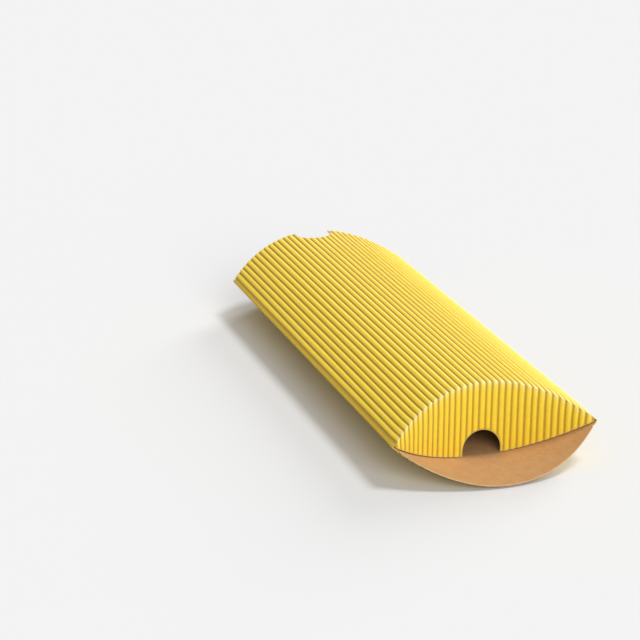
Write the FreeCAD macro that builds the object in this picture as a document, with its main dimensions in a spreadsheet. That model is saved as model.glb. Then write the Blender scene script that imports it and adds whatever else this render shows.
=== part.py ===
import FreeCAD, Part
import math
import os
from FreeCAD import Vector

# Pillow box of single-face corrugated board: two bowed panels joined by side folds, one of them
# glued over a tab, and at each end a thumb flap on the upper panel and a plain flap on the lower.
# The board is a flat kraft liner on the inside and an open fluted paper on the outside, with the
# flutes along the box. X runs across the box, Y along it, Z up; the box lies on its lower panel.
# Shown as in use half way: the front thumb flap is folded in, the other three flaps stand open.

doc = FreeCAD.newDocument("PillowBox")
sheet = doc.addObject("Spreadsheet::Sheet", "sizes")

driving = {
    # the bowed body
    "box_width": "104",
    "body_length": "250",
    "panel_rise": "18.5",
    # the board
    "flute_pitch": "3.3",
    "flute_height": "1.1",
    "fluting_paper": "0.25",
    "liner_paper": "0.3",
    "ridge_share": "0.36",
    "valley_share": "0.24",
    "crushed_band": "5",
    # slits between the sheet's neighbouring fields, and room for the folds
    "fold_slit": "0.2",
    "strip_slit": "0.2",
    "side_slit": "0.1",
    "corner_relief": "1.2",
    "nesting_gap": "0.4",
    "thumb_edge_gap": "0.4",
    "plain_edge_gap": "2.2",
    # the half-round thumb notch
    "notch_width": "20",
    "notch_depth": "13",
    # the glued side seam
    "tab_width": "14",
    "tab_inset": "14",
    "tab_crushed_fluting": "0.4",
    "glue_film": "0.1",
}
for row, (alias, value) in enumerate(driving.items(), start=1):
    sheet.set(f"A{row}", alias)
    sheet.set(f"B{row}", value)
    sheet.setAlias(f"B{row}", alias)
doc.recompute()


def size(alias):
    """A driving dimension, read back from the sheet."""
    return float(sheet.get(alias))


# What follows from the driving dimensions. The inner face of each panel is an arc across the box.
half_width = size("box_width") / 2
half_length = size("body_length") / 2
rise = size("panel_rise")
liner_paper = size("liner_paper")
fluting_paper = size("fluting_paper")
flute_height = size("flute_height")
board = liner_paper + flute_height
bend_radius = (half_width ** 2 + rise ** 2) / (2 * rise)
chord_depth = bend_radius - rise
tip_angle = math.acos(chord_depth / bend_radius)
flute_angle = size("flute_pitch") / (bend_radius + liner_paper)
half_flute_angle = flute_angle / 2
fluted_angle = tip_angle - size("crushed_band") / bend_radius
flutes_each_side = int((fluted_angle - half_flute_angle) / flute_angle)
ridges = range(-flutes_each_side, flutes_each_side + 1)

# The plain flaps fold over the thumb flaps, so their creases stand further out by one board.
plain_crease_offset = board + size("nesting_gap")
notch_radius = size("notch_width") / 2
half_fold_slit = size("fold_slit") / 2
half_slit_angle = size("strip_slit") / 2 / bend_radius
corner_angle = tip_angle - size("corner_relief") / bend_radius

# The wave of the fluted paper: half widths, as angles, of a ridge's flat and of its foot.
ridge_half = flute_angle * size("ridge_share") / 2
foot_half = flute_angle * (1 - size("valley_share")) / 2
flank_slope = math.atan2(flute_height - fluting_paper, (foot_half - ridge_half) * bend_radius)
paper_half_shift = fluting_paper / 2 * math.tan(flank_slope / 2) / bend_radius

# Each flap bends between flutes as it folds, so it is carried as strips of whole flutes: a centre
# strip wide enough for the notch, and on each side two wings that share the rest.
inner_start = math.ceil((notch_radius + size("flute_pitch") / 2) / size("flute_pitch"))
outer_start = (inner_start + flutes_each_side + 1) // 2
strips = {
    "outer_left": (-flutes_each_side, -outer_start),
    "inner_left": (1 - outer_start, -inner_start),
    "centre": (1 - inner_start, inner_start - 1),
    "inner_right": (inner_start, outer_start - 1),
    "outer_right": (outer_start, flutes_each_side),
}


def crown(x):
    """Height of a panel's inner face above the line between the side folds."""
    return math.sqrt(bend_radius ** 2 - x ** 2) - chord_depth


def upper_section(angle, radius):
    """Point of the upper panel's cross-section."""
    return Vector(radius * math.sin(angle), 0, radius * math.cos(angle) - chord_depth)


def lower_section(angle, radius):
    """Point of the lower panel's cross-section, the upper one's mirror image."""
    return Vector(radius * math.sin(angle), 0, chord_depth - radius * math.cos(angle))


def folded_section(angle, radius):
    """Point of the plan of the folded front flap, which hangs from the crease as an upright wall."""
    return Vector(radius * math.sin(angle), radius * math.cos(angle) - chord_depth - half_length, 0)


def panel_reach(side, radius):
    """Angle at which a panel's ply of this radius meets the side fold."""
    return side * math.acos((chord_depth + size("side_slit") / 2) / radius)


def strip_reach(first, last):
    """How far a flap's strip goes beyond its outermost ridges: half a valley, or to the corner."""
    edges = {-1: (first * flute_angle) - half_flute_angle + half_slit_angle,
             1: (last * flute_angle) + half_flute_angle - half_slit_angle}
    if first == ridges[0]:
        edges[-1] = -corner_angle
    if last == ridges[-1]:
        edges[1] = corner_angle
    return lambda side, radius: edges[side]


def fluting_outline(section, first, last, outward, reach):
    """Closed outline of the fluted paper from one ridge to another.

    outward is 1 where the flutes lie outside the arc of the liner and -1 where they lie inside it.
    Past the outermost ridges the paper lies flat on the liner as far as reach gives.
    """
    seat = bend_radius + outward * liner_paper

    def ply(foot, crest, shift):
        low, high = seat + outward * foot, seat + outward * crest
        points = []
        for ridge in range(first, last + 1):
            middle = ridge * flute_angle
            for side in (-1, 1):
                corners = [(foot_half + shift, low), (ridge_half + shift, high)]
                for half, radius in corners[::-side]:
                    points.append((middle + side * half, radius))
        return [(reach(-1, low), low)] + points + [(reach(1, low), low)]

    outer = ply(fluting_paper, flute_height, paper_half_shift)
    inner = ply(0, flute_height - fluting_paper, -paper_half_shift)
    return [section(angle, radius) for angle, radius in outer + inner[::-1]]


def liner_outline(section, first, last, outward, reach):
    """Closed outline of the liner under the same ridges, with a facet wherever a valley is glued."""
    back = bend_radius + outward * liner_paper

    def ply(radius):
        angles = []
        for ridge in range(first, last + 1):
            middle = ridge * flute_angle
            angles += [middle - foot_half + paper_half_shift, middle + foot_half - paper_half_shift]
        angles = [reach(-1, radius)] + angles + [reach(1, radius)]
        return [(angle, radius) for angle in angles]

    return [section(angle, radius) for angle, radius in ply(back) + ply(bend_radius)[::-1]]


def band_outline(inner_radius, outer_radius, start, end):
    """Closed outline of a plain layer inside the upper panel, faceted like its liner."""
    steps = math.ceil((end - start) / flute_angle)
    angles = [start + (end - start) * step / steps for step in range(steps + 1)]
    points = [(angle, outer_radius) for angle in angles]
    points += [(angle, inner_radius) for angle in angles[::-1]]
    return [upper_section(angle, radius) for angle, radius in points]


def profile(name, points):
    """A flat face with the given corners, ready to be extruded."""
    face = doc.addObject("Part::Feature", name)
    face.Shape = Part.Face(Part.makePolygon(points + points[:1]))
    return face


def extrusion(name, base, direction, length):
    """The base drawn out both ways along a direction by a length given as a sheet expression."""
    solid = doc.addObject("Part::Extrusion", name)
    solid.Base = base
    solid.DirMode = "Custom"
    solid.Dir = direction
    solid.Solid = True
    solid.setExpression("LengthFwd", length)
    solid.setExpression("LengthRev", length)
    return solid


along_box = Vector(0, 1, 0)
upright = Vector(0, 0, 1)
fold_bisector = Vector(0, -1, 1)
whole_length = "sizes.body_length"
whole_height = "sizes.panel_rise * 3"
past_folds = half_width + 2 * board


def curve(height, offset, reach=past_folds):
    """Points of the crown's curve, about one to a flute, scaled by height and moved by offset."""
    steps = len(ridges) + 1
    stations = [reach * (2 * step / steps - 1) for step in range(steps + 1)]
    return [Vector(x, offset + height * crown(x), 0) for x in stations]


def notch_points(edge, inward):
    """Half-round notch in a free edge at mid width, from left to right.

    edge is where the edge lies at mid width and inward the sign of the way into the flap.
    """
    straight = size("notch_depth") - notch_radius
    turn_steps = 12
    points = [Vector(-notch_radius, edge - inward * notch_radius, 0)]
    for step in range(turn_steps + 1):
        turn = math.pi * step / turn_steps
        depth = straight + notch_radius * math.sin(turn)
        points.append(Vector(-notch_radius * math.cos(turn), edge + inward * depth, 0))
    points.append(Vector(notch_radius, edge - inward * notch_radius, 0))
    return points


def outline_prism(name, points, direction=upright):
    """Everything above and below a plan outline."""
    return extrusion(name + "_prism", profile(name, points), direction, whole_height)


def end_prism(name, end, crease_offset, edge_gap):
    """Plan of an open flap at one end, from its crease to its free edge; end is -1 at the front."""
    corner_line = half_length + crease_offset
    corner_crown = (edge_gap + half_fold_slit) / 2
    corner = math.sqrt(bend_radius ** 2 - (chord_depth + corner_crown) ** 2)
    crease = curve(-end, end * (corner_line + half_fold_slit), corner)
    edge = curve(end, end * (corner_line - edge_gap), corner)
    return outline_prism(name, crease + edge[-2:0:-1])


# Trimming prisms. A panel ends at its creases; the front fold of the upper panel is mitred.
far_end = half_length + 2 * rise


def back_edge(y):
    """Two corners that close a trimming outline on its unused side."""
    return [Vector(past_folds, y, 0), Vector(-past_folds, y, 0)]


front_mitre = outline_prism(
    "front_mitre", curve(2, half_fold_slit - half_length) + back_edge(far_end), fold_bisector)
upper_rear_trim = outline_prism(
    "upper_rear_trim", curve(-1, half_length - half_fold_slit) + back_edge(-far_end))
plain_reach = half_length + plain_crease_offset - half_fold_slit
lower_trim = outline_prism("lower_trim", curve(1, -plain_reach) + curve(-1, plain_reach)[::-1])

front_plain_prism = end_prism("front_plain_outline", -1, plain_crease_offset,
                              size("plain_edge_gap"))
rear_plain_prism = end_prism("rear_plain_outline", 1, plain_crease_offset, size("plain_edge_gap"))
rear_lens_prism = end_prism("rear_thumb_outline", 1, 0, size("thumb_edge_gap"))
rear_notch = outline_prism(
    "rear_notch", notch_points(half_length + rise - size("thumb_edge_gap"), -1))
rear_thumb_prism = doc.addObject("Part::Cut", "rear_thumb_prism")
rear_thumb_prism.Base = rear_lens_prism
rear_thumb_prism.Tool = rear_notch

# The folded front thumb flap: mitred at the crease, cut along its lower free edge.
flap_mitre = outline_prism(
    "flap_mitre", curve(2, -half_fold_slit - half_length) + back_edge(-far_end), fold_bisector)
wall_points = curve(-1, size("thumb_edge_gap")) + back_edge(far_end)
wall_notch_points = notch_points(size("thumb_edge_gap") - rise, 1)


def stood_up(points):
    """Plan points turned into the upright plane across the box."""
    return [Vector(point.x, 0, point.y) for point in points]


wall_outline = extrusion("wall_outline_prism", profile("wall_outline", stood_up(wall_points)),
                         along_box, whole_length)
wall_notch = extrusion("wall_notch_prism", profile("wall_notch", stood_up(wall_notch_points)),
                       along_box, whole_length)
wall_prism = doc.addObject("Part::Cut", "wall_prism")
wall_prism.Base = wall_outline
wall_prism.Tool = wall_notch

sub_parts = []


def sub_part(label, solid, trims):
    """A finished ply: the drawn-out profile inside its trimming prisms, lifted onto the floor."""
    piece = doc.addObject("Part::MultiCommon", label)
    piece.Shapes = [solid] + trims
    piece.Label = label
    piece.setExpression(
        "Placement.Base.z", "sizes.panel_rise + sizes.liner_paper + sizes.flute_height")
    sub_parts.append(piece)


def plies(label, section, flutes, outward, reach, direction, length, trim_sets):
    """The fluted paper and the liner of one field of the sheet, once for each set of trims."""
    for ply, outline in (("fluting", fluting_outline), ("liner", liner_outline)):
        points = outline(section, *flutes, outward, reach)
        base = profile(f"{label}_{ply}_profile", points)
        solid = extrusion(f"{label}_{ply}_solid", base, direction, length)
        for name, trims in trim_sets.items():
            sub_part(f"{name}_{ply}", solid, trims)


# The two panels, from side fold to side fold.
all_flutes = (ridges[0], ridges[-1])
plies("upper", upper_section, all_flutes, 1, panel_reach, along_box, whole_length,
      {"upper_panel": [front_mitre, upper_rear_trim]})
plies("lower", lower_section, all_flutes, 1, panel_reach, along_box, whole_length,
      {"lower_panel": [lower_trim]})

# The glue tab goes on from the lower panel round the right side fold and is stuck inside the
# upper panel, its flutes pressed flat. Its root starts where the panels leave room for its layers,
# and the glue lies just inside the widest flat of the upper panel's liner, its side band.
tab_layers = size("glue_film") + size("tab_crushed_fluting") + liner_paper
tab_root = tip_angle - tab_layers / math.sin(tip_angle) / bend_radius
tab_end = tab_root - size("tab_width") / bend_radius
band_start = flutes_each_side * flute_angle + foot_half - paper_half_shift
layer_top = bend_radius * math.cos((tip_angle - band_start) / 2)
for label, thickness in (("seam_glue", size("glue_film")),
                         ("glue_tab_fluting", size("tab_crushed_fluting")),
                         ("glue_tab_liner", liner_paper)):
    layer = band_outline(layer_top - thickness, layer_top, tab_end, tab_root)
    solid = extrusion(label + "_solid", profile(label + "_profile", layer), along_box, whole_length)
    tab_span = half_length - size("tab_inset")
    corners = [Vector(x, y, 0) for x, y in ((0, -tab_span), (2 * half_width, -tab_span),
                                            (2 * half_width, tab_span), (0, tab_span))]
    sub_part(label, solid, [outline_prism(label + "_outline", corners)])
    layer_top -= thickness

# The four flaps, strip by strip.
for strip, flutes in strips.items():
    reach = strip_reach(*flutes)
    plies(f"folded_{strip}", folded_section, flutes, -1, reach, upright, whole_height,
          {f"front_thumb_flap_{strip}": [flap_mitre, wall_prism]})
    plies(f"lower_{strip}", lower_section, flutes, 1, reach, along_box, whole_length,
          {f"front_plain_flap_{strip}": [front_plain_prism],
           f"rear_plain_flap_{strip}": [rear_plain_prism]})
    plies(f"upper_{strip}", upper_section, flutes, 1, reach, along_box, whole_length,
          {f"rear_thumb_flap_{strip}": [rear_thumb_prism]})

doc.recompute()

for item in doc.Objects:
    if "Invalid" in item.State or "Error" in item.State:
        raise RuntimeError(f"{item.Name} did not recompute: {item.State}")
for piece in sub_parts:
    if piece.Shape.isNull() or not piece.Shape.isValid() or len(piece.Shape.Solids) != 1:
        raise RuntimeError(f"{piece.Label} is not one sound solid")

os.makedirs("parts", exist_ok=True)
for piece in sub_parts:
    piece.Shape.exportStep(f"parts/{piece.Label}.step")
print(f"{len(sub_parts)} sub-parts, {len(ridges)} flutes across each panel")
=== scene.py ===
import math

import bmesh
import bpy
import numpy as np
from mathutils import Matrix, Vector


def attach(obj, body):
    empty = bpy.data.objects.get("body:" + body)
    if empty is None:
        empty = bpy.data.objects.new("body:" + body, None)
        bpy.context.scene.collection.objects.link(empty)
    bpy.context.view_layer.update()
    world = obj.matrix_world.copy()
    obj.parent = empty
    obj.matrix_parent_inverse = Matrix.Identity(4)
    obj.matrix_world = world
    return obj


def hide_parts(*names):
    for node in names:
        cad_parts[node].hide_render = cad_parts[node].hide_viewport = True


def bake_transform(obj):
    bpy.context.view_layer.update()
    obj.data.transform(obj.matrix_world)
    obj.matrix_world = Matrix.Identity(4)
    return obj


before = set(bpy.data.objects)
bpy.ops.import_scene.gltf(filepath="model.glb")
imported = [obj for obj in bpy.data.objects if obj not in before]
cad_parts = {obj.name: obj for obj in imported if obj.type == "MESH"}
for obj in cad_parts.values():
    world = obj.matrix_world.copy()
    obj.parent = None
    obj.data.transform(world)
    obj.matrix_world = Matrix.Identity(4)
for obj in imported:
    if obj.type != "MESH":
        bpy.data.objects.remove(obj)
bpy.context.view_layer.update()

# Upper panel, fluted paper
# The outer ply of the bowed top: a dyed paper pressed hot into flutes that run along the box and
# glued by its valleys to the flat liner. The die crushes it beside the side folds and along the
# front crease, where its ridges bend over, and presses the flutes shut at both creases.

# sizes in millimetres, as in the solids
half_width, half_length, rise = 52.0, 125.0, 18.5
liner_paper, fluting_paper, flute_height, flute_pitch = 0.3, 0.25, 1.1, 3.3
board = liner_paper + flute_height
middle = rise + board
bend_radius = (half_width ** 2 + rise ** 2) / (2 * rise)
chord_depth = bend_radius - rise
tip_angle = math.acos(chord_depth / bend_radius)
flute_angle = flute_pitch / (bend_radius + liner_paper)
last_ridge = 15

# how uneven the flutes are: strays in pitches and swell as a share of the height, how far along
# the box each of them runs, and its turn from one flute to the next, in radians
coarse_stray, fine_stray, swell_share = 0.030, 0.022, 0.04
coarse_run, fine_run, swell_run = 46.0, 23.0, 31.0
coarse_turn, fine_turn, swell_turn = 1.9, 2.7, 2.3
# powers of the wave: below 1 its ridges are broad, and above 1 the paper's inner face is narrower
ridge_breadth, back_narrowing = 0.72, 1.2
# share of the height lost just past the last ridge and on the flat beside a side fold; in pitches,
# the run of the first loss, and the start and run of the second
edge_squeeze, flat_squeeze = 0.25, 0.6
edge_run, flat_start, flat_run = 0.2, 0.9, 0.3
# how much of the painted groove shade that flat is spared, and how many pitches past the last ridge
# that starts
flat_tone, flat_tone_start = 0.42, 1.3


def crown(angle):
    """Height of a panel's inner face above the line between the side folds."""
    return bend_radius * np.cos(np.minimum(np.abs(angle), tip_angle)) - chord_depth


def flute(angle, along):
    """The pressed wave, 0 in a valley and 1 on a ridge: broad ridges, narrow valleys. No two flutes
    are quite alike, and those squeezed beside a side fold keep only part of their height."""
    place = angle / flute_angle
    stray = (coarse_stray * np.sin(coarse_turn * place + along / coarse_run)
             + fine_stray * np.sin(fine_turn * place - along / fine_run))
    swell = 1 - swell_share + swell_share * np.sin(swell_turn * place + along / swell_run)
    past = np.abs(place) - last_ridge - 0.5
    squeezed = (edge_squeeze * np.clip(past / edge_run, 0, 1)
                + flat_squeeze * np.clip((past - flat_start) / flat_run, 0, 1))
    wave = 0.5 + 0.5 * np.cos(2 * np.pi * (place + stray))
    return wave ** ridge_breadth * swell * (1 - squeezed)


def tone(angle, wave):
    """How much of the painted groove shade the paper is spared: fully on a ridge, none in a valley,
    and halfway on the flat beside a side fold.
    """
    flat = np.clip(np.abs(angle) / flute_angle - last_ridge - flat_tone_start, 0, 1)
    return np.maximum(wave, flat_tone * flat)


def paper_top(wave):
    """Lift of the fluted paper's outer face above the panel's inner face."""
    return liner_paper + fluting_paper + (flute_height - fluting_paper) * wave


def paper_back(wave):
    """Lift of its inner face, a narrower wave, so that the slopes keep their thickness."""
    return liner_paper + (flute_height - fluting_paper) * wave ** back_narrowing


def on_upper(angle, along, lift, lean=1.0):
    """Point over the upper panel. Past the tip the sheet wraps round the side fold."""
    held = np.clip(angle, -tip_angle, tip_angle)
    return np.stack([bend_radius * np.sin(held) + lean * lift * np.sin(angle), along + 0 * angle,
                     middle + crown(angle) + lift * np.cos(angle)], -1)


def stations(start, end, per_flute=14, extra=()):
    """Angles across the sheet, close enough to draw each flute round."""
    count = max(2, round((end - start) / flute_angle * per_flute))
    return np.array(sorted(set(np.linspace(start, end, count + 1)) | set(extra)))


# a turn sharper than this is a cut edge
sharp_turn = math.radians(48)


def ply(name, face, back, sheet, groove_shade_tone, wear_and_highlight):
    """A closed sheet between two grids of points, with the sheet's own millimetres as its map, its
    painted groove shade, and its pale marks of worn fibres and painted highlight."""
    rows, columns = face.shape[:2]
    total = rows * columns
    grid = np.arange(total).reshape(rows, columns)
    quads = np.stack([grid[:-1, :-1], grid[:-1, 1:], grid[1:, 1:], grid[1:, :-1]], -1)
    quads = quads.reshape(-1, 4)
    ring = np.concatenate([grid[0, :-1], grid[:-1, -1], grid[-1, :0:-1], grid[:0:-1, 0]])
    after = np.roll(ring, -1)
    rim = np.stack([ring, ring + total, after + total, after], -1)
    faces = np.concatenate([quads, quads[:, ::-1] + total, rim])
    points = np.concatenate([face.reshape(-1, 3), back.reshape(-1, 3)]) / 1000
    mesh = bpy.data.meshes.new(name)
    mesh.from_pydata(points.tolist(), [], faces.tolist())
    whole = bmesh.new()
    whole.from_mesh(mesh)
    bmesh.ops.recalc_face_normals(whole, faces=whole.faces)
    whole.to_mesh(mesh)
    whole.free()
    mesh.shade_smooth()
    mesh.set_sharp_from_angle(angle=sharp_turn)
    corner = np.empty(len(mesh.loops), int)
    mesh.loops.foreach_get("vertex_index", corner)
    spread = np.tile(sheet.reshape(-1, 2), (2, 1))
    mesh.uv_layers.new(name="sheet").data.foreach_set("uv", spread[corner].ravel())
    for mark, level in (("groove_shade_tone", groove_shade_tone), ("wear_and_highlight", wear_and_highlight + 0 * groove_shade_tone)):
        level = np.tile(level.ravel(), 2).astype(np.float32)
        mesh.attributes.new(mark, "FLOAT", "POINT").data.foreach_set("value", level)
    piece = bpy.data.objects.new(name, mesh)
    bpy.context.scene.collection.objects.link(piece)
    return piece


def linear(colour):
    """An sRGB hex colour as linear red, green, blue and alpha."""
    parts = [int(colour[i:i + 2], 16) / 255 for i in (1, 3, 5)]
    return [p / 12.92 if p <= 0.04045 else ((p + 0.055) / 1.055) ** 2.4 for p in parts] + [1.0]


def add_node(tree, kind, inputs, **settings):
    """A node with its settings, and its inputs as values or as the sockets they come from."""
    node = tree.nodes.new(kind)
    for key, value in settings.items():
        setattr(node, key, value)
    for key, value in inputs.items():
        if isinstance(value, bpy.types.NodeSocket):
            tree.links.new(value, node.inputs[key])
        else:
            node.inputs[key].default_value = value
    return node


# Dyed sulphite paper, uncoated: matt with a faint bloom at a glancing look, coloured right through,
# with a cloudy mottle and short fibres along the flutes. Its colour is darker in the valleys, a
# painted shade of the grooves. It is paler on the ridges at a fold and along cut edges: partly
# opened fibres, partly a painted highlight where bends and edges catch the light.
dyed_paper = bpy.data.materials.new("dyed_uncoated_paper")
dyed_paper.use_nodes = True
tree = dyed_paper.node_tree
shader = tree.nodes["Principled BSDF"]
shader.inputs["IOR"].default_value = 1.45
shader.inputs["Sheen Weight"].default_value = 0.35
shader.inputs["Sheen Roughness"].default_value = 0.25
sheet_map = add_node(tree, "ShaderNodeUVMap", {}, uv_map="sheet")
groove_shade_attribute = add_node(tree, "ShaderNodeAttribute", {}, attribute_name="groove_shade_tone")
wear_and_highlight_attribute = add_node(tree, "ShaderNodeAttribute", {}, attribute_name="wear_and_highlight")
# clouds 5 mm across, mottle 0.9 mm, fibres 0.45 mm wide and 3 mm long
clouds = add_node(tree, "ShaderNodeTexNoise", {"Vector": sheet_map.outputs["UV"], "Scale": 1 / 5.0,
                                               "Detail": 3.0})
mottle = add_node(tree, "ShaderNodeTexNoise", {"Vector": sheet_map.outputs["UV"], "Scale": 1 / 0.9,
                                               "Detail": 4.0, "Roughness": 0.65})
drawn_out = add_node(tree, "ShaderNodeMapping", {"Vector": sheet_map.outputs["UV"],
                                                 "Scale": (1 / 0.45, 1 / 3.0, 1.0)})
fibres = add_node(tree, "ShaderNodeTexNoise", {"Vector": drawn_out.outputs["Vector"], "Scale": 1.0,
                                               "Detail": 2.0})
ridge_polish_and_groove_shade = add_node(tree, "ShaderNodeMapRange", {"Value": groove_shade_attribute.outputs["Fac"], "From Min": 0.0,
                                               "From Max": 0.5})
polish = add_node(tree, "ShaderNodeMapRange", {"Value": ridge_polish_and_groove_shade.outputs["Result"], "To Min": 0.74,
                                               "To Max": 0.6})
tree.links.new(polish.outputs["Result"], shader.inputs["Roughness"])
# the valley colour is painted shade of the grooves; the ridge colour is the paper's own
ridge_valley_colour = add_node(tree, "ShaderNodeMix", {"Factor": ridge_polish_and_groove_shade.outputs["Result"],
                                           "A": linear("#8c6404"), "B": linear("#ffdc3a")},
                   data_type="RGBA")
worn_and_highlit_colour = add_node(tree, "ShaderNodeMix", {"Factor": wear_and_highlight_attribute.outputs["Fac"],
                                          "A": ridge_valley_colour.outputs["Result"], "B": linear("#fff0a8")},
                  data_type="RGBA")
specks = add_node(tree, "ShaderNodeMapRange", {"Value": mottle.outputs["Fac"], "From Min": 0.3,
                                               "From Max": 0.7, "To Min": 0.91, "To Max": 1.0})
drifts = add_node(tree, "ShaderNodeMapRange", {"Value": clouds.outputs["Fac"], "From Min": 0.3,
                                               "From Max": 0.7, "To Min": 0.95, "To Max": 1.0})
cloudy = add_node(tree, "ShaderNodeMath", {0: specks.outputs["Result"],
                                           1: drifts.outputs["Result"]}, operation="MULTIPLY")
mottled = add_node(tree, "ShaderNodeMix", {"Factor": 1.0, "A": worn_and_highlit_colour.outputs["Result"],
                                           "B": cloudy.outputs["Value"]},
                   data_type="RGBA", blend_type="MULTIPLY")
tree.links.new(mottled.outputs["Result"], shader.inputs["Base Color"])
grain = add_node(tree, "ShaderNodeMath", {0: mottle.outputs["Fac"], 1: fibres.outputs["Fac"]},
                 operation="ADD")
relief = add_node(tree, "ShaderNodeBump", {"Height": grain.outputs["Value"], "Strength": 0.12,
                                           "Distance": 0.0002})
tree.links.new(relief.outputs["Normal"], shader.inputs["Normal"])

wrapped = stations(-math.pi / 2, -tip_angle, 2)[:-1], stations(tip_angle, math.pi / 2, 2)[1:]
across = np.concatenate([wrapped[0], stations(-tip_angle, tip_angle), wrapped[1]])

# the fold: the bend's radius on a ridge and its share on the liner, the length over which ridges
# lean to meet the flap's, and the reach of the pale mark on its ridges, worn fibres and a painted
# highlight where the bend catches the light
crease_rounding, least_rounding, crease_skew, fold_wear_and_highlight_reach = 0.55, 0.35, 9.0, 1.3
# share of the height that the creasing rule takes, and the length over which it comes back
crease_crush, crush_length = 0.45, 1.2
# each side of the fold bends through half of the right angle
bend_turns = np.radians([9, 18, 27, 36, 45])
least_paper = 0.12
# rows along the panel, close together at the front crease
panel_rows = np.append(np.linspace(0, 0.97, 44),
                       [0.976, 0.982, 0.987, 0.991, 0.994, 0.997, 1])[:, None]


def smooth(share):
    """A soft step from 0 to 1."""
    share = np.clip(share, 0, 1)
    return share * share * (3 - 2 * share)


def over_crease(lift):
    """How paper of this lift bends over a folded crease: its radius, and for each row of the bend
    the distance from the sharp corner and the loss of height."""
    above = (lift - liner_paper) / flute_height
    radius = crease_rounding * (least_rounding + (1 - least_rounding) * above)
    away = [radius * (1 - math.sin(turn)) for turn in bend_turns]
    drop = [radius * (1 - math.cos(turn)) for turn in bend_turns]
    return radius, np.array(away), np.array(drop)


rear_crease = half_length - crown(across)
front_crease = -half_length + crown(across)
crest_lift = paper_top(flute(across, front_crease) * (1 - crease_crush))
radius, away, drop = over_crease(crest_lift)
corner = front_crease - crest_lift * np.cos(across)
along = rear_crease + panel_rows * (corner + radius - rear_crease)
face_along = np.concatenate([along, corner + away])
face_drop = np.concatenate([0 * along, drop])
from_crease = face_along - corner
lean = smooth(from_crease / crease_skew)
wave = flute(across, face_along)
# the ridges at the crease are paler: worn fibres and a painted highlight where the bend catches the
# light
fold_wear_and_highlight = wave * np.exp(-from_crease / fold_wear_and_highlight_reach)
wave = wave * (1 - crease_crush * np.exp(-from_crease / crush_length))
face_lift = paper_top(wave) - face_drop
back_lift = np.minimum(paper_back(wave), face_lift - least_paper)
# the creasing rule presses both ends shut
back_lift[[0, -1]] = liner_paper
back_along = np.maximum(face_along, front_crease - back_lift * np.cos(across))
sheet = np.stack([bend_radius * across + 0 * face_along, face_along], -1)
upper_fluting = ply("upper_panel_fluted_paper", on_upper(across, face_along, face_lift, lean),
                    on_upper(across, back_along, back_lift, lean), sheet, tone(across, wave),
                    fold_wear_and_highlight)
upper_fluting.data.materials.append(dyed_paper)
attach(upper_fluting, "shell")
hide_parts("upper_panel_fluting")

# Upper panel, liner
# The inner ply of the top: a flat unbleached kraft paper that carries the fluting and makes the
# inside of the box. It goes round the side folds and ends at the creases.

# Unbleached kraft, machine finished: matt brown, cloudy, with darker and paler fibres lying mostly
# along the machine direction, which is across the flutes. It is paler along cut edges: partly
# opened fibres, partly a painted highlight where the edge catches the light.
kraft = bpy.data.materials.new("unbleached_kraft_paper")
kraft.use_nodes = True
tree = kraft.node_tree
shader = tree.nodes["Principled BSDF"]
shader.inputs["IOR"].default_value = 1.45
shader.inputs["Specular IOR Level"].default_value = 0.35
sheet_map = add_node(tree, "ShaderNodeUVMap", {}, uv_map="sheet")
# clouds 6 mm across, fibres 0.35 mm wide and 2.5 mm long
clouds = add_node(tree, "ShaderNodeTexNoise", {"Vector": sheet_map.outputs["UV"], "Scale": 1 / 6.0,
                                               "Detail": 4.0})
drawn_out = add_node(tree, "ShaderNodeMapping", {"Vector": sheet_map.outputs["UV"],
                                                 "Scale": (1 / 2.5, 1 / 0.35, 1.0)})
fibres = add_node(tree, "ShaderNodeTexNoise", {"Vector": drawn_out.outputs["Vector"], "Scale": 1.0,
                                               "Detail": 3.0, "Roughness": 0.6})
cloudy = add_node(tree, "ShaderNodeMix", {"Factor": clouds.outputs["Fac"],
                                          "A": linear("#c3915e"), "B": linear("#d5a977")},
                  data_type="RGBA")
wear_and_highlight_attribute = add_node(tree, "ShaderNodeAttribute", {}, attribute_name="wear_and_highlight")
worn_and_highlit_colour = add_node(tree, "ShaderNodeMix", {"Factor": wear_and_highlight_attribute.outputs["Fac"],
                                          "A": cloudy.outputs["Result"], "B": linear("#f3d6b0")},
                  data_type="RGBA")
strands = add_node(tree, "ShaderNodeValToRGB", {"Fac": fibres.outputs["Fac"]})
strands.color_ramp.elements[0].position = 0.25
strands.color_ramp.elements[0].color = linear("#c9b8a6")
strands.color_ramp.elements[1].position = 0.65
strands.color_ramp.elements[1].color = linear("#ffffff")
fibrous = add_node(tree, "ShaderNodeMix", {"Factor": 0.6, "A": worn_and_highlit_colour.outputs["Result"],
                                           "B": strands.outputs["Color"]},
                   data_type="RGBA", blend_type="MULTIPLY")
tree.links.new(fibrous.outputs["Result"], shader.inputs["Base Color"])
finish = add_node(tree, "ShaderNodeMapRange", {"Value": fibres.outputs["Fac"], "From Min": 0.3,
                                               "From Max": 0.7, "To Min": 0.66, "To Max": 0.78})
tree.links.new(finish.outputs["Result"], shader.inputs["Roughness"])
relief = add_node(tree, "ShaderNodeBump", {"Height": fibres.outputs["Fac"], "Strength": 0.1,
                                           "Distance": 0.0002})
tree.links.new(relief.outputs["Normal"], shader.inputs["Normal"])


# how far the flutes show through, and at a side fold the lift at which the liner closes and the
# angle, in radians, over which it does
show_through, closed_fold, closing_angle = 0.03, 0.06, 0.1


def washboard(angle, along):
    """Lift of the liner's inner face: the flutes show through it faintly, and at a side fold it
    closes round a thin line."""
    wrap = np.clip((np.abs(angle) - tip_angle) / closing_angle, 0, 1)
    return -show_through * flute(angle, along) * (1 - wrap) + closed_fold * wrap


share = np.linspace(0, 1, 24)[:, None]
along = rear_crease + share * (front_crease - rear_crease)
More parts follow.
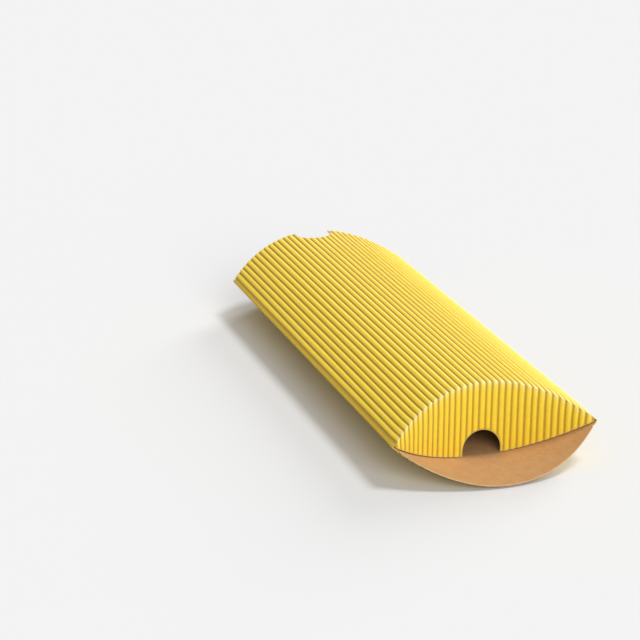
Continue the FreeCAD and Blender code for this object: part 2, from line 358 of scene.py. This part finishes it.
# its outer face goes one paper further, round the outside of the front crease; the high power
# keeps that to the last few millimetres
crease_power = 8
outer_along = along - share ** crease_power * liner_paper * np.cos(across)
sheet = np.stack([bend_radius * across + 0 * along, along], -1)
upper_liner = ply("upper_panel_kraft_liner", on_upper(across, outer_along, liner_paper + 0 * along),
                  on_upper(across, along, washboard(across, along)), sheet, 0 * along, 0)
upper_liner.data.materials.append(kraft)
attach(upper_liner, "shell")
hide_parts("upper_panel_liner")

# Lower panel
# The other half of the same sheet, bowed downwards: fluted paper outside, kraft liner inside. Its
# creases stand one board further out, so that the plain flaps fold over the thumb flaps.
nesting_gap, plain_gap = 0.4, 2.2
plain_offset = board + nesting_gap
# the lower half lies this far off on the map, clear of the upper one
lower_map = 400.0


def on_lower(angle, along, lift, lean=1.0):
    """Point under the lower panel, the mirror image of the upper one."""
    point = on_upper(angle, along, lift, lean)
    point[..., 2] = 2 * middle - point[..., 2]
    return point


plain_crease = half_length + plain_offset + np.minimum(-crown(across), crown(across) - plain_gap)
share = np.linspace(-1, 1, 48)[:, None]
along = share * plain_crease
sheet = np.stack([bend_radius * across + 0 * along, along + lower_map], -1)
wave = flute(across, along)
back_lift = paper_back(wave)
back_lift[[0, -1]] = liner_paper
lower_fluting = ply("lower_panel_fluted_paper", on_lower(across, along, paper_top(wave)),
                    on_lower(across, along, back_lift), sheet, tone(across, wave), 0)
lower_liner = ply("lower_panel_kraft_liner", on_lower(across, along, liner_paper + 0 * along),
                  on_lower(across, along, washboard(across, along)), sheet, 0 * along, 0)
for piece, node, slot, material in (
        (lower_fluting, "lower_panel_fluting", "yellow_fluted_paper", dyed_paper),
        (lower_liner, "lower_panel_liner", "kraft_liner_paper", kraft)):
    piece.data.materials.append(material)
    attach(piece, "shell")
    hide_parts(node)

# Glued side seam
# A tab goes on from the lower panel round the right side fold and is stuck inside the upper panel
# with a thin coat of dispersion glue. Its flutes are pressed flat, so the solids have its form.

# Dried dispersion glue: a pale, slightly glossy film with an uneven, brushed-out thickness.
dried_glue = bpy.data.materials.new("dried_dispersion_glue")
dried_glue.use_nodes = True
tree = dried_glue.node_tree
shader = tree.nodes["Principled BSDF"]
shader.inputs["IOR"].default_value = 1.47
place = add_node(tree, "ShaderNodeTexCoord", {})
# runs of the glue nozzle about 4 mm apart
runs = add_node(tree, "ShaderNodeTexNoise", {"Vector": place.outputs["Object"], "Scale": 1 / 0.004,
                                             "Detail": 2.0})
film = add_node(tree, "ShaderNodeMix", {"Factor": runs.outputs["Fac"], "A": linear("#d8ccb2"),
                                        "B": linear("#efe7d6")}, data_type="RGBA")
tree.links.new(film.outputs["Result"], shader.inputs["Base Color"])
gloss = add_node(tree, "ShaderNodeMapRange", {"Value": runs.outputs["Fac"], "From Min": 0.3,
                                              "From Max": 0.7, "To Min": 0.42, "To Max": 0.28})
tree.links.new(gloss.outputs["Result"], shader.inputs["Roughness"])
relief = add_node(tree, "ShaderNodeBump", {"Height": runs.outputs["Fac"], "Strength": 0.3,
                                           "Distance": 0.0002})
tree.links.new(relief.outputs["Normal"], shader.inputs["Normal"])

# Kraft of the tab, seen inside the box: the liner's brown with the same clouds, 6 mm across.
tab_kraft = bpy.data.materials.new("unbleached_kraft_paper_of_tab")
tab_kraft.use_nodes = True
tree = tab_kraft.node_tree
shader = tree.nodes["Principled BSDF"]
shader.inputs["IOR"].default_value = 1.45
place = add_node(tree, "ShaderNodeTexCoord", {})
clouds = add_node(tree, "ShaderNodeTexNoise", {"Vector": place.outputs["Object"],
                                               "Scale": 1 / 0.006, "Detail": 5.0})
cloudy = add_node(tree, "ShaderNodeMix", {"Factor": clouds.outputs["Fac"], "A": linear("#b98450"),
                                          "B": linear("#d2a06b")}, data_type="RGBA")
tree.links.new(cloudy.outputs["Result"], shader.inputs["Base Color"])
finish = add_node(tree, "ShaderNodeMapRange", {"Value": clouds.outputs["Fac"], "From Min": 0.3,
                                               "From Max": 0.7, "To Min": 0.66, "To Max": 0.78})
tree.links.new(finish.outputs["Result"], shader.inputs["Roughness"])
relief = add_node(tree, "ShaderNodeBump", {"Height": clouds.outputs["Fac"], "Strength": 0.1,
                                           "Distance": 0.0002})
tree.links.new(relief.outputs["Normal"], shader.inputs["Normal"])

# Crushed fluting of the tab: the dyed paper pressed flat, so its ridges are only pale streaks.
tab_paper = bpy.data.materials.new("dyed_uncoated_paper_pressed_flat")
tab_paper.use_nodes = True
tree = tab_paper.node_tree
shader = tree.nodes["Principled BSDF"]
shader.inputs["IOR"].default_value = 1.45
place = add_node(tree, "ShaderNodeTexCoord", {})
# streaks one flute apart: at scale 1 this texture repeats every pi / 10
streaks = add_node(tree, "ShaderNodeTexWave", {"Vector": place.outputs["Object"],
                                               "Scale": math.pi / 10 / (flute_pitch / 1000),
                                               "Distortion": 0.6})
ridge_valley_colour = add_node(tree, "ShaderNodeMix", {"Factor": streaks.outputs["Fac"],
                                           "A": linear("#d9a41a"), "B": linear("#eec43a")},
                   data_type="RGBA")
tree.links.new(ridge_valley_colour.outputs["Result"], shader.inputs["Base Color"])
polish = add_node(tree, "ShaderNodeMapRange", {"Value": streaks.outputs["Fac"], "To Min": 0.8,
                                               "To Max": 0.68})
tree.links.new(polish.outputs["Result"], shader.inputs["Roughness"])
relief = add_node(tree, "ShaderNodeBump", {"Height": streaks.outputs["Fac"], "Strength": 0.2,
                                           "Distance": 0.0002})
tree.links.new(relief.outputs["Normal"], shader.inputs["Normal"])

for node, material in (("seam_glue", dried_glue), ("glue_tab_liner", tab_kraft),
                       ("glue_tab_fluting", tab_paper)):
    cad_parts[node].data.materials.clear()
    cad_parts[node].data.materials.append(material)

# Front thumb flap
# The flap of the upper panel at the front, folded in: an upright wall, hollow like the crease it
# hangs from, with a half-round thumb notch in its free edge. Both plies run on from the panel, and
# the board bends from flute to flute, so each length of it goes between two neighbouring strips.
thumb_gap, notch_radius, notch_depth, corner_relief = 0.4, 10.0, 13.0, 1.2
corner_angle = tip_angle - corner_relief / bend_radius
# the valleys where one strip of the flap starts to hand over to the next
seams = {"centre": 0.5 * flute_angle, "inner": 6.5 * flute_angle, "outer": 12.5 * flute_angle}


def on_wall(angle, height, lift, lean=1.0):
    """Point in front of the folded flap's inner face; height counts from the side folds."""
    return np.stack([(bend_radius - lean * lift) * np.sin(angle),
                     -half_length + crown(angle) - lift * np.cos(angle),
                     middle + height + 0 * angle], -1)


def notched(angle, reach):
    """Reach of a flap's free edge from the side folds' line, less the notch at mid width."""
    x = bend_radius * np.sin(angle)
    bite = notch_depth - notch_radius + np.sqrt(np.clip(notch_radius ** 2 - x ** 2, 0, None))
    edge = rise - thumb_gap
    return np.where(np.abs(x) < notch_radius, edge - bite, reach)


# beside a cut: the width that the die squeezes and the share of the flutes' height left there
notch_pinch, edge_pinch = (1.2, 0.2), (0.9, 0.6)
# the reach of the pale mark along a cut, opened fibres and a painted highlight, and how pale the
# dyed paper gets there
cut_wear_and_highlight_reach, cut_paleness = 0.35, 0.5


def pinched(distance, width, left):
    """Share of the flute height left beside a cut, where the die squeezes the board."""
    return left + (1 - left) * smooth(distance / width)


def thumb_cut(angle, reach):
    """Share of the flute height left, and the pale mark of worn fibres and painted highlight,
    beside a thumb flap's notch and long free edge.
    """
    notch_centre = rise - thumb_gap - notch_depth + notch_radius
    from_notch = np.hypot(bend_radius * np.sin(angle), np.minimum(reach - notch_centre, 0))
    from_notch = np.clip(from_notch - notch_radius, 0, None)
    from_edge = np.clip(crown(angle) - thumb_gap - reach, 0, None)
    return (pinched(from_notch, *notch_pinch) * pinched(from_edge, *edge_pinch),
            np.exp(-np.minimum(from_notch, from_edge) / cut_wear_and_highlight_reach))


# rows down a flap, close together at its crease and at its cut edge
flap_rows = np.concatenate([[0, 0.015, 0.035], np.linspace(0.07, 0.88, 12),
                            [0.91, 0.935, 0.955, 0.97, 0.98, 0.99, 1]])[:, None]

# stations that draw the notch: close together towards its upright sides, and one just each way
# of a side
notch_turn = np.radians([0, 15, 30, 45, 58, 68, 76, 82, 86])
upright = np.arcsin(notch_radius / bend_radius)
notch_side = np.append(np.arcsin(notch_radius * np.sin(notch_turn) / bend_radius),
                       [upright - 1e-4, upright + 1e-4])
notch_stations = np.concatenate([-notch_side[1:], notch_side])


def flap_lengths(end, extra):
    """Each length of a flap from valley to valley: its name, the sign of its side, its angles, its
    strip and the neighbour that it goes over to."""
    spans = [("centre", -seams["centre"], seams["inner"], "inner"),
             ("inner", seams["inner"], seams["outer"], "outer"),
             ("outer", seams["outer"], end, None)]
    for side, sign in (("right", 1), ("left", -1)):
        for inner, start, stop, outer in spans:
            start = seams["centre"] if (inner, sign) == ("centre", -1) else start
            start, stop = sorted((sign * start, sign * stop))
            inside = [a for a in extra if start < a < stop]
            strip = inner if inner == "centre" else f"{inner}_{side}"
            yield (f"{inner}_{side}", sign, stations(start, stop, extra=inside), strip,
                   outer and f"{outer}_{side}")


def hang(piece, flap, ply_name, strip, neighbour, sign, seat):
    """Hides the solids of a flap length's strips and gives it its paper; a length at the flap's end
    goes on its strip's body, and any other stays where it lies.
    """
    strips = [strip] + ([neighbour] if neighbour else [])
    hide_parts(*[f"{flap}_flap_{s}_{ply_name}" for s in strips])
    piece.data.materials.append(dyed_paper if ply_name == "fluting" else kraft)
    if neighbour is None:
        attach(piece, f"{flap}_{strip}")
        return
    start = seams["centre" if strip == "centre" else "inner"]
    end = seams["inner" if strip == "centre" else "outer"]
    ends = [tuple(seat(np.array(sign * a)) / 1000) for a in (start, end)]
    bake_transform(piece)


# the lines at which each side of a flap bends, and its tip, in flutes from the middle
bend_lines = 3.5, 9.5, 16.6


def from_bend(angle):
    """How many flutes an angle is from the nearest of these lines."""
    place = np.abs(angle) / flute_angle
    return np.min([np.abs(place - line) for line in bend_lines], axis=0)


def crease_paper(flap, length, face, back, sheet):
    """The narrow piece of paper that goes across a fold, dyed outside and kraft inside. It lies
    hidden at rest and fills the line that opens between panel and flap when the flap moves."""
    piece = ply(f"{flap}_flap_{length}_crease_paper", face, back, sheet,
                crease_groove_shade_tone + 0 * sheet[..., 0], 0)
    quads = (face.shape[0] - 1) * (face.shape[1] - 1)
    inside = np.zeros(len(piece.data.polygons), int)
    inside[quads:2 * quads] = 1
    piece.data.polygons.foreach_set("material_index", inside)
    return piece


# it reaches furthest in at the bends; its faces lie in the thickness of the panel's liner
# crease papers and lips take a fixed share of the painted groove shade
crease_groove_shade_tone, crease_share = 0.4, np.linspace(0, 1, 5)[:, None]
hem_depth, hem_taper, hem_run, hem_share = 1.4, 0.9, 2.5, 0.6
hem_start, hem_face, hem_back = 0.25, 0.25, 0.08
# the painted shade in this flap's valleys is lighter than on the panel, as the light falls on the
# flap from the front
front_lit_flap_tone = 0.18
for length, sign, angle, strip, neighbour in flap_lengths(corner_angle, notch_stations):
    start = crown(angle)
    crest_lift = paper_top(flute(angle, -half_length + start) * (1 - crease_crush))
    radius, away, drop = over_crease(crest_lift)
    corner = start + crest_lift * np.cos(angle)
    edge = -notched(angle, start - thumb_gap)
    height = np.concatenate([(corner - away)[::-1],
                             corner - radius + flap_rows * (edge - corner + radius)])
    fall = np.concatenate([drop[::-1], 0 * flap_rows * corner])
    run = -half_length + 2 * start - height
    left, edge_wear_and_highlight = thumb_cut(angle, -height)
    wave = flute(angle, run) * left
    # pale at the crease and along the cut: worn fibres and a painted highlight where they catch the
    # light
    wear_and_highlight = wave * np.exp((height - corner) / fold_wear_and_highlight_reach) + cut_paleness * edge_wear_and_highlight
    wave = wave * (1 - crease_crush * np.exp((height - corner) / crush_length))
    lift = paper_top(wave) - fall
    back = np.minimum(paper_back(wave), lift - least_paper)
    back[0] = liner_paper
    back_height = np.minimum(height, start + back * np.cos(angle))
    lean = smooth((corner - height) / crease_skew)
    # less painted groove shade on this flap
    flap_groove_shade_tone = np.maximum(tone(angle, wave), front_lit_flap_tone)
    fluted = ply(f"front_thumb_flap_{length}_fluted_paper", on_wall(angle, height, lift, lean),
                 on_wall(angle, back_height, back, lean),
                 np.stack([bend_radius * angle + 0 * height, run], -1), flap_groove_shade_tone, wear_and_highlight)
    height = start + flap_rows * (edge - start)
    run = -half_length + 2 * start - height
    # its cut edges are paler too: worn fibres and a painted highlight
    lined = ply(f"front_thumb_flap_{length}_kraft_liner",
                on_wall(angle, height, liner_paper + 0 * height),
                on_wall(angle, height, washboard(angle, run)),
                np.stack([bend_radius * angle + 0 * height, run], -1), 0 * height,
                thumb_cut(angle, -height)[1])
    reach = np.minimum(hem_depth - hem_taper * smooth(from_bend(angle) / hem_run),
                       hem_share * start)
    lift = hem_start - crease_share * (hem_start + reach)
    hem = crease_paper("front_thumb", length, on_wall(angle, start + hem_face + 0 * lift, lift, 0),
                       on_wall(angle, start + hem_back + 0 * lift, lift, 0),
                       np.stack([bend_radius * angle + 0 * lift, start - half_length - lift], -1))
    for piece, ply_name in ((fluted, "fluting"), (lined, "liner"), (hem, "fluting")):
        hang(piece, "front_thumb", ply_name, strip, neighbour, sign,
             lambda a: on_wall(a, 0.0, 0.0))
    hem.data.materials.append(kraft)

# Front crease
# Both papers run on unbroken from the panel round the crease: a narrow bent lip behind the folded
# flap, which closes the line between flap and panel when the flap is opened.
lip_start, lip_depth, lip_share = 0.05, 4.0, 0.8
angle = stations(-corner_angle, corner_angle, 6)
height = crown(angle) - lip_start - (np.linspace(0, 1, 5)[:, None]
                                     * np.minimum(lip_depth, lip_share * crown(angle)))
sheet = np.stack([bend_radius * angle + 0 * height, -half_length + 2 * crown(angle) - height], -1)
# the last two values: each paper's faces, behind the inner face of the folded flap
for name, material, node, slot, inner, outer in (
        ("front_crease_dyed_paper", dyed_paper, "upper_panel_fluting", "yellow_fluted_paper",
         -0.20, -0.08),
        ("front_crease_kraft_paper", kraft, "upper_panel_liner", "kraft_liner_paper",
         -0.40, -0.22)):
    lip = ply(name, on_wall(angle, height, outer + 0 * height),
              on_wall(angle, height, inner + 0 * height), sheet, crease_groove_shade_tone + 0 * height, 0)
    lip.data.materials.append(material)
    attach(lip, "shell")
    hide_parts(node)

# Rear thumb flap
# The same flap at the other end, standing open: it goes on straight from the upper panel, so the
# crease hardly shows, and its free edge shows the open ends of the flutes and the notch. Its flutes
# are pressed a little lower than the panel's, to slip behind the plain flap.
flap_press, press_length = 0.18, 8.0
# its crease paper lies under the panel's liner and reaches furthest in between the bends
tuck_depth, tuck_start, tuck_run = 1.5, 1.0, 1.5
tuck_root, tuck_least, tuck_face, tuck_back = 0.6, 0.2, -0.06, -0.26
for length, sign, angle, strip, neighbour in flap_lengths(corner_angle, notch_stations):
    crease = half_length - crown(angle)
    edge = half_length + notched(angle, crown(angle) - thumb_gap)
    along = crease + flap_rows * (edge - crease)
    # paler along the cut edges: worn fibres and a painted highlight where they catch the light
    left, edge_wear_and_highlight = thumb_cut(angle, along - half_length)
    wave = flute(angle, along) * left * (1 - flap_press * smooth((along - crease) / press_length))
    back = paper_back(wave)
    back[0] = liner_paper
    sheet = np.stack([bend_radius * angle + 0 * along, along], -1)
    fluted = ply(f"rear_thumb_flap_{length}_fluted_paper",
                 on_upper(angle, along, paper_top(wave)),
                 on_upper(angle, along, back), sheet, tone(angle, wave), cut_paleness * edge_wear_and_highlight)
    lined = ply(f"rear_thumb_flap_{length}_kraft_liner",
                on_upper(angle, along, liner_paper + 0 * along),
                on_upper(angle, along, washboard(angle, along)), sheet, 0 * along, edge_wear_and_highlight)
    reach = tuck_depth * smooth((from_bend(angle) - tuck_start) / tuck_run)
    under = crease + tuck_root - crease_share * (tuck_root - tuck_least + reach)
    tuck = crease_paper("rear_thumb", length, on_upper(angle, under, tuck_face + 0 * under),
                        on_upper(angle, under, tuck_back + 0 * under),
                        np.stack([bend_radius * angle + 0 * under, under], -1))
    for piece, ply_name in ((fluted, "fluting"), (lined, "liner"), (tuck, "fluting")):
        hang(piece, "rear_thumb", ply_name, strip, neighbour, sign,
             lambda a: on_upper(a, half_length, 0.0))
    tuck.data.materials.append(kraft)

# Rear crease
# The creasing rule raises a bead of the liner on the inside of the fold: it lies behind the flap
# when that is folded in, and hides the line between flap and panel.
bead_depth, bead_share, bead_back, bead_width = 2.2, 0.5, 0.9, 0.3
angle = stations(-corner_angle, corner_angle, 6)
down = -np.linspace(0, 1, 4)[:, None] * np.minimum(bead_depth, bead_share * crown(angle))
crease = half_length - crown(angle) - bead_back + 0 * down
bead = ply("rear_crease_kraft_bead", on_upper(angle, crease, down),
           on_upper(angle, crease - bead_width, down),
           np.stack([bend_radius * angle + 0 * down, crease - down], -1), 0 * down, 0)
bead.data.materials.append(kraft)
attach(bead, "shell")
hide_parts("upper_panel_liner")

# Plain flaps
# The flaps of the lower panel, both standing open and without a notch: seen from above they show
# the kraft inside of the board. Their long cut presses the flutes shut, and the fluting ends just
# short of the liner, so the free edge is thin and brown.
plain_setback, plain_pinch, plain_paleness = 1.4, (5.0, 0.08), 0.45
# a flap goes towards the lens tips as far as it keeps a little length
least_flap = 0.2
plain_corner = math.acos((chord_depth + (plain_gap + plain_setback + least_flap) / 2)
                         / bend_radius)
for end, toward in (("front", -1), ("rear", 1)):
    for length, sign, angle, strip, neighbour in flap_lengths(plain_corner, ()):
        crease = half_length + plain_offset - crown(angle)
        edge = half_length + plain_offset + crown(angle) - plain_gap
        along = crease + flap_rows * (edge - plain_setback - crease)
        wave = flute(angle, toward * along) * pinched(edge - along, *plain_pinch)
        back = paper_back(wave)
        back[0] = liner_paper
        along = toward * along
        sheet = np.stack([bend_radius * angle + 0 * along, along + lower_map], -1)
        fluted = ply(f"{end}_plain_flap_{length}_fluted_paper",
                     on_lower(angle, along, paper_top(wave)),
                     on_lower(angle, along, back), sheet, tone(angle, wave), 0)
        along = crease + flap_rows * (edge - crease)
        # the liner is paler along its cut edge: opened fibres and a painted highlight where the
        # edge catches the light
        wear_and_highlight = plain_paleness * np.exp((along - edge) / cut_wear_and_highlight_reach)
        along = toward * along
        sheet = np.stack([bend_radius * angle + 0 * along, along + lower_map], -1)
        lined = ply(f"{end}_plain_flap_{length}_kraft_liner",
                    on_lower(angle, along, liner_paper + 0 * along),
                    on_lower(angle, along, washboard(angle, along)), sheet, 0 * along, wear_and_highlight)
        for piece, ply_name in ((fluted, "fluting"), (lined, "liner")):
            hang(piece, f"{end}_plain", ply_name, strip, neighbour, sign,
                 lambda a: on_lower(a, toward * half_length, 0.0))

# Studio
# A plain pale floor under an even sky, a broad lamp above, a low one behind on the right, which
# rakes over the flutes, and one in front.
floor_reach = 6.0
mesh = bpy.data.meshes.new("floor")
mesh.from_pydata([(x * floor_reach, y * floor_reach, 0.0)
                  for x, y in ((-1, -1), (1, -1), (1, 1), (-1, 1))], [], [(0, 1, 2, 3)])
floor = bpy.data.objects.new("floor", mesh)
bpy.context.scene.collection.objects.link(floor)
paint = bpy.data.materials.new("matt_white_paint")
paint.use_nodes = True
shader = paint.node_tree.nodes["Principled BSDF"]
shader.inputs["Base Color"].default_value = linear("#e2e2e2")
shader.inputs["Roughness"].default_value = 0.9
shader.inputs["Specular IOR Level"].default_value = 0.0
mesh.materials.append(paint)

world = bpy.data.worlds.new("even_sky")
bpy.context.scene.world = world
world.use_nodes = True
tree = world.node_tree
# the paper mirrors a white room, though the sky lights it only softly
ray = add_node(tree, "ShaderNodeLightPath", {})
seen = add_node(tree, "ShaderNodeMath", {0: ray.outputs["Is Camera Ray"],
                                         1: ray.outputs["Is Glossy Ray"]}, operation="MAXIMUM")
glow = add_node(tree, "ShaderNodeMapRange", {"Value": seen.outputs["Value"], "To Min": 0.36,
                                             "To Max": 0.95})
tree.nodes["Background"].inputs["Color"].default_value = linear("#ffffff")
tree.links.new(glow.outputs["Result"], tree.nodes["Background"].inputs["Strength"])

# strength, spread in degrees, and the way to the lamp
for name, strength, spread, way in (("broad_lamp", 1.4, 18, (0.42, -0.05, 0.90)),
                                    ("low_lamp", 1.6, 25, (0.72, 0.60, 0.36)),
                                    ("front_lamp", 1.7, 40, (0.0, -0.90, 0.44))):
    lamp = bpy.data.objects.new(name, bpy.data.lights.new(name, "SUN"))
    lamp.data.energy = strength
    lamp.data.angle = math.radians(spread)
    lamp.rotation_euler = Vector(way).to_track_quat("Z", "Y").to_euler()
    bpy.context.scene.collection.objects.link(lamp)

# the photograph's angle on the box, in metres and degrees
camera = bpy.data.objects.new("camera", bpy.data.cameras.new("camera"))
camera.data.lens = 120.94
camera.data.sensor_width = 36.0
camera.location = (-0.39072, -0.97729, 0.41657)
camera.rotation_euler = [math.radians(turn) for turn in (69.981, -0.410, -19.353)]
bpy.context.scene.collection.objects.link(camera)
bpy.context.scene.camera = camera
bpy.context.scene.view_settings.view_transform = "Standard"
